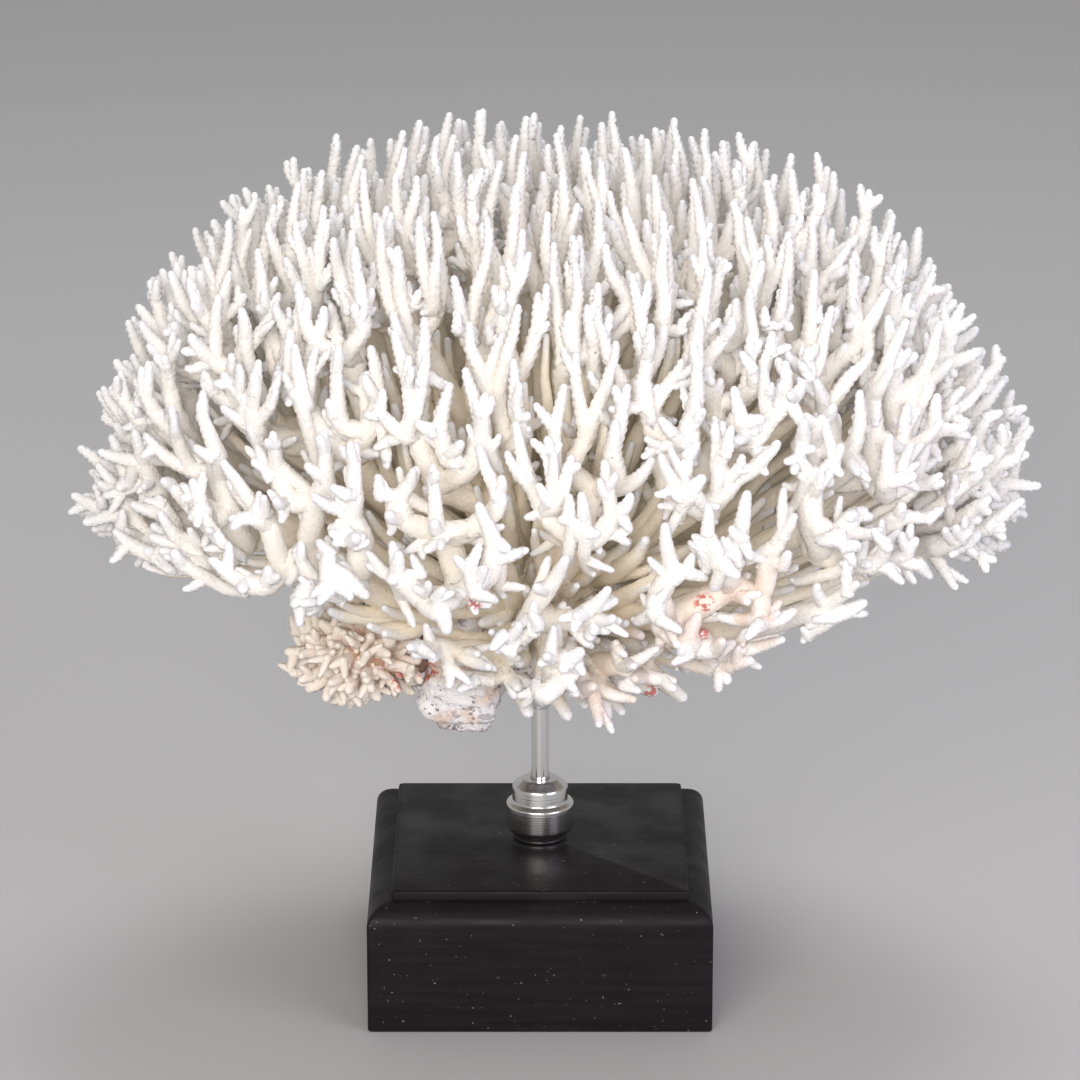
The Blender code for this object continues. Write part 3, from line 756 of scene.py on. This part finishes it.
def make_cluster_body(material, to_core):
    """The lump that the small colony's fingers stand on, and its neck to the rock."""
    bm = bmesh.new()
    lump = Matrix.Translation(CLUSTER_MIDDLE) @ Matrix.Diagonal((*(CLUSTER_SIZE * CLUSTER_LUMP), 1.0))
    bmesh.ops.create_icosphere(bm, subdivisions=4, radius=1.0, matrix=lump)
    end = HEART - to_core * (CORE_RADIUS - CLUSTER_NECK_INSIDE)
    middle = Matrix.Translation((CLUSTER_MIDDLE + end) / 2)
    turn = Vector(to_core).to_track_quat("Z", "Y").to_matrix().to_4x4()
    length = float(np.linalg.norm(end - CLUSTER_MIDDLE))
    bmesh.ops.create_cone(
        bm,
        cap_ends=True,
        segments=32,
        radius1=CLUSTER_NECK,
        radius2=CLUSTER_NECK * CLUSTER_NECK_SPREAD,
        depth=length,
        matrix=middle @ turn,
    )
    mesh = bpy.data.meshes.new("cluster_body")
    bm.to_mesh(mesh)
    bm.free()
    piece = add_piece("cluster_body", mesh)
    roughen(piece, 9.0)
    set_float(piece.data, "share", np.full(len(piece.data.vertices), CLUSTER_DEPTH))
    finish_piece(piece, material, "cluster", "coral_cluster")


def rounded(corners, radius, steps=5):
    """An outline with its corners rounded off; its two ends stay as they are."""
    points = [np.array(corners[0], float)]
    for before, corner, after in zip(corners, corners[1:], corners[2:]):
        before, corner, after = (np.array(p, float) for p in (before, corner, after))
        cut = min(radius, np.linalg.norm(corner - before) * 0.45, np.linalg.norm(after - corner) * 0.45)
        first = corner + unit(before - corner) * cut
        last = corner + unit(after - corner) * cut
        for t in np.linspace(0, 1, steps):
            points.append((1 - t) ** 2 * first + 2 * t * (1 - t) * corner + t**2 * last)
    points.append(np.array(corners[-1], float))
    return points


def turned(name, profile, sides, wobble=0.0):
    """A turned ring: a closed outline of (radius, height) pairs, spun about the Z axis."""
    profile = np.array(profile)
    turns = np.arange(sides) * 2 * math.pi / sides
    lobes = np.sin(turns * GLUE_LOBES + profile[:, 1][:, None] * GLUE_TWIST)
    radius = profile[:, 0][:, None] * (1 + wobble * lobes)
    height = np.repeat(profile[:, 1][:, None], sides, axis=1)
    points = np.stack([radius * np.cos(turns), radius * np.sin(turns), height], axis=-1).reshape(-1, 3)
    ids = np.arange(len(points)).reshape(len(profile), sides)
    above, turned_ids = np.roll(ids, -1, axis=0), np.roll(ids, -1, axis=1)
    faces = np.stack([ids, above, np.roll(above, -1, axis=1), turned_ids], axis=-1).reshape(-1, 4)
    mesh = bpy.data.meshes.new(name)
    mesh.from_pydata(points.tolist(), [], faces.tolist())
    mesh.shade_smooth()
    mesh.set_sharp_from_angle(angle=SHARP_FROM)
    return add_piece(name, mesh)


def make_stand(steel, polished, glue):
    """The turned collar with its eased edges, the polished rod and the cloudy glue on it."""
    outline = [(radius, FOOT + height) for radius, height in COLLAR]
    collar = turned("collar_turned", rounded(outline, COLLAR_EASE), COLLAR_SIDES)
    finish_piece(collar, steel, "steel", "stand_collar")
    bm = bmesh.new()
    place = Matrix.Translation((0, 0, (FOOT + ROD_TOP) / 2))
    bmesh.ops.create_cone(
        bm,
        cap_ends=True,
        segments=ROD_SIDES,
        radius1=ROD_RADIUS,
        radius2=ROD_RADIUS,
        depth=ROD_TOP - FOOT,
        matrix=place,
    )
    mesh = bpy.data.meshes.new("rod_polished")
    bm.to_mesh(mesh)
    bm.free()
    mesh.shade_smooth()
    mesh.set_sharp_from_angle(angle=SHARP_FROM)
    finish_piece(add_piece("rod_polished", mesh), polished, "steel", "stand_rod")
    bead = turned("glue_blob", rounded(GLUE, GLUE_EASE), GLUE_SIDES, GLUE_WOBBLE)
    finish_piece(bead, glue, "glue", "glue_bead")


def square_ring(half, height, radius, steps=6):
    """Points round a square with rounded corners."""
    points = []
    for quarter in range(4):
        middle = math.pi / 4 + quarter * math.pi / 2
        corner = np.sign([math.cos(middle), math.sin(middle)]) * (half - radius)
        for step in range(steps + 1):
            turn = quarter * math.pi / 2 + math.pi / 2 * step / steps
            points.append([*(corner + radius * np.array([math.cos(turn), math.sin(turn)])), height])
    return points


def make_base(material):
    """The moulded wooden block, with soft edges."""
    half, plate = BASE_WIDTH / 2, PLATE_WIDTH / 2
    shoulder = BASE_HEIGHT - PLATE_STEP - OVOLO_HEIGHT
    outline = [(half - inward, height) for inward, height in BOTTOM_EASE]
    outline += [(half, shoulder * share) for share in FACE_RINGS]
    for step in range(1, OVOLO_STEPS + 1):
        turn = math.pi / 2 * step / OVOLO_STEPS
        outline.append((plate + (half - plate) * math.cos(turn), shoulder + OVOLO_HEIGHT * math.sin(turn)))
    outline += [(plate - inward, BASE_HEIGHT - down) for inward, down in TOP_EASE]
    rings = np.array([square_ring(width, height, CORNER_RADIUS) for width, height in outline])
    count = rings.shape[1]
    ids = np.arange(len(rings) * count).reshape(len(rings), count)
    turned_ids = np.roll(ids, -1, axis=1)
    faces = np.stack([ids[:-1], turned_ids[:-1], turned_ids[1:], ids[1:]], axis=-1).reshape(-1, 4).tolist()
    faces += [ids[0, ::-1].tolist(), ids[-1].tolist()]
    mesh = bpy.data.meshes.new("base_block")
    mesh.from_pydata(rings.reshape(-1, 3).tolist(), [], faces)
    mesh.shade_smooth()
    mesh.set_sharp_from_angle(angle=SHARP_ON_BASE_FROM)
    finish_piece(add_piece("base_block", mesh), material, "black_wood", "wood_base")


class Nodes:
    """Short ways to add shader nodes to one material."""

    def __init__(self, name, roughness, metallic=0.0):
        self.material = bpy.data.materials.new(name)
        self.material.use_nodes = True
        self.tree = self.material.node_tree
        self.shader = self.tree.nodes["Principled BSDF"]
        self.set("Roughness", roughness)
        self.set("Metallic", metallic)

    def set(self, socket, value):
        """A plain value of the material."""
        self.shader.inputs[socket].default_value = value

    def link(self, output, target):
        """Joins two sockets."""
        self.tree.links.new(output, target)

    def feed(self, node, index, value):
        """Gives a node's input a socket or a plain value."""
        if isinstance(value, bpy.types.NodeSocket):
            self.link(value, node.inputs[index])
        else:
            node.inputs[index].default_value = value

    def attribute(self, label):
        """A number that the mesh keeps at each point."""
        node = self.tree.nodes.new("ShaderNodeAttribute")
        node.attribute_name = label
        return node.outputs["Fac"]

    def place(self, stretch=(1.0, 1.0, 1.0)):
        """The point's own coordinates in metres, stretched."""
        node = self.tree.nodes.new("ShaderNodeTexCoord")
        scale = self.tree.nodes.new("ShaderNodeVectorMath")
        scale.operation = "MULTIPLY"
        self.link(node.outputs["Object"], scale.inputs[0])
        scale.inputs[1].default_value = stretch
        return scale.outputs[0]

    def noise(self, scale, detail=3.0, stretch=(1.0, 1.0, 1.0)):
        """Smooth noise with this many waves a metre."""
        node = self.tree.nodes.new("ShaderNodeTexNoise")
        self.link(self.place(stretch), node.inputs["Vector"])
        node.inputs["Scale"].default_value = scale
        node.inputs["Detail"].default_value = detail
        return node.outputs["Fac"]

    def cells(self, scale):
        """Small round cells side by side, like the cups of a coral."""
        node = self.tree.nodes.new("ShaderNodeTexVoronoi")
        self.link(self.place(), node.inputs["Vector"])
        node.inputs["Scale"].default_value = scale
        return node.outputs["Distance"]

    def ramp(self, value, low, high, to_low=0.0, to_high=1.0):
        """A value carried smoothly from one range to another, held at its ends."""
        node = self.tree.nodes.new("ShaderNodeMapRange")
        node.interpolation_type = "SMOOTHSTEP"
        for index, number in enumerate((low, high, to_low, to_high), 1):
            node.inputs[index].default_value = number
        self.feed(node, 0, value)
        return node.outputs[0]

    def math(self, operation, first, second=0.0):
        """Two values put together."""
        node = self.tree.nodes.new("ShaderNodeMath")
        node.operation = operation
        self.feed(node, 0, first)
        self.feed(node, 1, second)
        return node.outputs[0]

    def mix(self, share, first, second):
        """One colour over another."""
        node = self.tree.nodes.new("ShaderNodeMix")
        node.data_type = "RGBA"
        self.feed(node, 0, share)
        for index, value in ((6, first), (7, second)):
            self.feed(node, index, (*value, 1.0) if isinstance(value, tuple) else value)
        return node.outputs[2]

    def near(self, spot, radius):
        """1 at a place of the object, 0 past a radius from it."""
        node = self.tree.nodes.new("ShaderNodeVectorMath")
        node.operation = "DISTANCE"
        self.link(self.place(), node.inputs[0])
        node.inputs[1].default_value = spot
        return self.ramp(node.outputs["Value"], radius * 0.5, radius, 1.0, 0.0)

    def bump(self, height, strength, distance):
        """Fine relief that only the light sees."""
        node = self.tree.nodes.new("ShaderNodeBump")
        node.inputs["Strength"].default_value = strength
        node.inputs["Distance"].default_value = distance
        self.link(height, node.inputs["Height"])
        self.link(node.outputs[0], self.shader.inputs["Normal"])

    def colour(self, value):
        """Gives the material its colour, and the material back."""
        self.feed(self.shader, "Base Color", value)
        return self.material


# Stains, each with its radius: red specks, a pinkish blush low on the right, and rust on the rock
RED_SPOTS = (
    ((-0.028, -0.102, 0.208), 0.005),
    ((0.069, -0.086, 0.202), 0.006),
    ((0.069, -0.096, 0.194), 0.006),
    ((0.050, -0.027, 0.139), 0.007),
    ((-0.047, -0.038, 0.155), 0.008),
    ((-0.060, -0.040, 0.150), 0.006),
)
BLUSHES = (
    ((0.042, -0.078, 0.163), 0.034),
    ((0.074, -0.092, 0.190), 0.034),
    ((0.100, -0.090, 0.205), 0.022),
)
RUST_SPOTS = (
    ((0.040, -0.020, 0.152), 0.022),
    ((-0.020, -0.030, 0.160), 0.014),
    ((0.062, -0.030, 0.160), 0.018),
)

# Colours, as light reflected
TIP_WHITE = (0.88, 0.88, 0.90)
COLONY_WHITE = (0.92, 0.89, 0.85)
# Lighter and warmer than the colony's white: partly the skeleton's own warm tone, partly a painted glow that
# stands in for light scattered through the branches deep in the colony.
PAINTED_GLOW_CREAM = (0.98, 0.89, 0.74)
ROCK_PALE = (0.82, 0.80, 0.81)
ROCK_PINK = (0.74, 0.60, 0.52)
ROCK_GREY = (0.30, 0.29, 0.33)
PIT = (0.16, 0.12, 0.11)
RUST = (0.55, 0.30, 0.15)
RED = (0.56, 0.10, 0.07)
BLUSH = (0.78, 0.60, 0.49)
CLUSTER_BROWN = (0.44, 0.26, 0.17)
CLUSTER_PINK = (0.66, 0.44, 0.36)
CLUSTER_CREAM = (0.82, 0.72, 0.62)
CLUSTER_TIP = (0.90, 0.85, 0.80)
STEEL = (0.72, 0.71, 0.70)
CLOUDY = (0.86, 0.88, 0.90)
PAINT_BLACK = (0.008, 0.0075, 0.008)
PAINT_GRAIN = (0.012, 0.011, 0.012)
SCUFF = (0.036, 0.033, 0.035)
DUST = (0.45, 0.44, 0.44)
FLOOR_GREY = (0.47, 0.47, 0.475)


def stained(nodes, colour, spots, stain, patches):
    """Patches of a stain over a colour, at some places."""
    for spot, radius in spots:
        share = nodes.math("MULTIPLY", nodes.near(spot, radius), patches)
        colour = nodes.mix(share, colour, stain)
    return colour


def red_specked(nodes, colour):
    """Small red specks over a colour."""
    specks = nodes.math("MULTIPLY", nodes.ramp(nodes.noise(380), 0.46, 0.56), 0.85)
    return stained(nodes, colour, RED_SPOTS, RED, specks)


def coral_look():
    """Dry white skeleton: near white at the tips, finely granular, and deep in the colony a lighter warm
    cream that is partly its own tone and partly a painted glow of light scattered through the branches.
    """
    nodes = Nodes("coral_skeleton", 0.62)
    # Painted light: the colour grows lighter and warmer towards the colony's depths, a painted glow of
    # scattered light over the skeleton's own slightly warm tone.
    share = nodes.ramp(nodes.attribute("share"), 0.35, 0.97)
    colour = nodes.mix(share, PAINTED_GLOW_CREAM, COLONY_WHITE)
    colour = nodes.mix(nodes.attribute("tip"), colour, TIP_WHITE)
    patches = nodes.math("MULTIPLY", nodes.ramp(nodes.noise(75, 4.0), 0.40, 0.62), 0.6)
    colour = stained(nodes, colour, BLUSHES, BLUSH, patches)
    nodes.bump(nodes.cells(620), 0.5, 0.0006)
    nodes.set("Specular IOR Level", 0.3)
    return nodes.colour(red_specked(nodes, colour))


def cluster_look():
    """Cream fingers, brown and pink between them."""
    nodes = Nodes("coral_cluster_skeleton", 0.65)
    deep = nodes.mix(nodes.ramp(nodes.noise(160), 0.4, 0.6), CLUSTER_BROWN, CLUSTER_PINK)
    colour = nodes.mix(nodes.ramp(nodes.attribute("share"), 0.40, 0.95), deep, CLUSTER_CREAM)
    colour = nodes.mix(nodes.math("MULTIPLY", nodes.attribute("tip"), 0.6), colour, CLUSTER_TIP)
    nodes.bump(nodes.noise(1300, 2.0), 0.35, 0.0004)
    nodes.set("Specular IOR Level", 0.3)
    return nodes.colour(red_specked(nodes, colour))


def rock_look():
    """Rough dead rock: pale, pinkish in patches, with grey streaks along its layers, pits, rust and red."""
    nodes = Nodes("holdfast_rock", 0.85)
    colour = nodes.mix(nodes.ramp(nodes.noise(60), 0.48, 0.62), ROCK_PALE, ROCK_PINK)
    streaks = nodes.ramp(nodes.noise(130, 6.0, (1.0, 1.0, 3.0)), 0.54, 0.64)
    colour = nodes.mix(nodes.math("MULTIPLY", streaks, 0.7), colour, ROCK_GREY)
    pits = nodes.ramp(nodes.noise(420, 3.0), 0.60, 0.66)
    colour = nodes.mix(nodes.math("MULTIPLY", pits, 0.8), colour, PIT)
    patches = nodes.math("MULTIPLY", nodes.ramp(nodes.noise(120), 0.42, 0.58), 0.8)
    colour = stained(nodes, colour, RUST_SPOTS, RUST, patches)
    # The core above the rock takes the same deep cream, with its painted glow of scattered light.
    colour = nodes.mix(nodes.attribute("share"), colour, PAINTED_GLOW_CREAM)
    nodes.bump(nodes.noise(600, 6.0), 0.9, 0.0012)
    nodes.set("Specular IOR Level", 0.2)
    return nodes.colour(red_specked(nodes, colour))


def steel_look(name, shine, ring_depth):
    """Steel, with the fine rings of its turning round it."""
    nodes = Nodes(name, shine, 1.0)
    rings = nodes.noise(900, 2.0, (0.02, 0.02, 1.6))
    nodes.bump(rings, ring_depth, 0.0002)
    return nodes.colour((*STEEL, 1.0))


def glue_look():
    """Cloudy glue that lets some light through."""
    nodes = Nodes("cloudy_glue", 0.25)
    nodes.set("Transmission Weight", 0.45)
    nodes.set("IOR", 1.45)
    return nodes.colour((*CLOUDY, 1.0))


def wood_look():
    """Satin black paint over wood: faint grain, specks of dust, and paler scuffs."""
    nodes = Nodes("black_painted_wood", 0.42)
    grain = nodes.noise(60, 6.0, (0.35, 6.0, 6.0))
    colour = nodes.mix(nodes.ramp(grain, 0.35, 0.7), PAINT_BLACK, PAINT_GRAIN)
    scuffs = nodes.ramp(nodes.noise(28, 8.0), 0.56, 0.75)
    colour = nodes.mix(nodes.math("MULTIPLY", scuffs, 0.15), colour, SCUFF)
    specks = nodes.ramp(nodes.noise(700, 1.0), 0.77, 0.79)
    colour = nodes.mix(nodes.math("MULTIPLY", specks, 0.5), colour, DUST)
    nodes.feed(nodes.shader, "Roughness", nodes.ramp(nodes.noise(45, 5.0), 0.3, 0.7, 0.36, 0.52))
    nodes.bump(grain, 0.12, 0.0004)
    nodes.set("Specular IOR Level", 0.12)
    return nodes.colour(colour)


# Camera, light and floor
CAMERA_DISTANCE = 2.2
CAMERA_ELEVATION = math.radians(18.8)
CAMERA_TARGET = Vector((0.0, 0.0, 0.201))
CAMERA_LENS = 168.0
CAMERA_SENSOR = 36.0
FLOOR_SIZE = 12.0
STUDIO_GREY = (0.58, 0.57, 0.57)
STUDIO_STRENGTH = 0.78
LIT_POINT = Vector((0, 0, 0.22))

# Soft square lights: name, place, side, power and colour
LIGHTS = (
    ("key", (-0.70, -2.00, 1.05), 1.0, 22, (1.0, 0.94, 0.88)),
    ("front", (0.05, -2.20, 1.00), 0.5, 14, (1.0, 0.98, 0.96)),
    ("fill", (1.5, -1.3, 0.8), 1.2, 14, (0.88, 0.86, 1.0)),
    ("top", (0.2, 0.8, 1.9), 0.9, 13, (1.0, 1.0, 1.0)),
)


def add_camera():
    """The camera, at the photograph's height and distance."""
    camera = bpy.data.cameras.new("camera")
    camera.lens = CAMERA_LENS
    camera.sensor_width = CAMERA_SENSOR
    holder = bpy.data.objects.new("camera", camera)
    bpy.context.scene.collection.objects.link(holder)
    back = Vector((0, -math.cos(CAMERA_ELEVATION), math.sin(CAMERA_ELEVATION)))
    holder.location = CAMERA_TARGET + back * CAMERA_DISTANCE
    holder.rotation_euler = (-back).to_track_quat("-Z", "Y").to_euler()
    bpy.context.scene.camera = holder


def add_light(name, place, size, power, colour):
    """A soft square light that faces the colony."""
    light = bpy.data.lights.new(name, "AREA")
    light.shape = "SQUARE"
    light.size = size
    light.energy = power
    light.color = colour
    holder = bpy.data.objects.new(name, light)
    bpy.context.scene.collection.objects.link(holder)
    holder.location = place
    holder.rotation_euler = (Vector(place) - LIT_POINT).to_track_quat("Z", "Y").to_euler()


def add_stage():
    """A plain pale floor under soft studio light."""
    bpy.ops.mesh.primitive_plane_add(size=FLOOR_SIZE)
    floor = bpy.context.object
    floor.name = "floor"
    floor.data.materials.append(Nodes("floor", 0.6).colour((*FLOOR_GREY, 1.0)))
    world = bpy.data.worlds.new("studio")
    world.use_nodes = True
    background = world.node_tree.nodes["Background"]
    background.inputs["Color"].default_value = (*STUDIO_GREY, 1.0)
    background.inputs["Strength"].default_value = STUDIO_STRENGTH
    bpy.context.scene.world = world
    for light in LIGHTS:
        add_light(*light)
    bpy.context.scene.view_settings.view_transform = "Standard"


coral = coral_look()
groups, directions = group_tips(make_colony_tips(), BRANCHES)
make_branches(groups, directions, coral)
make_buds(directions, coral)
make_holdfast(rock_look())
make_cluster(cluster_look())
make_stand(steel_look("turned_steel", 0.20, 0.25), steel_look("polished_steel", 0.08, 0.02), glue_look())
make_base(wood_look())
add_camera()
add_stage()
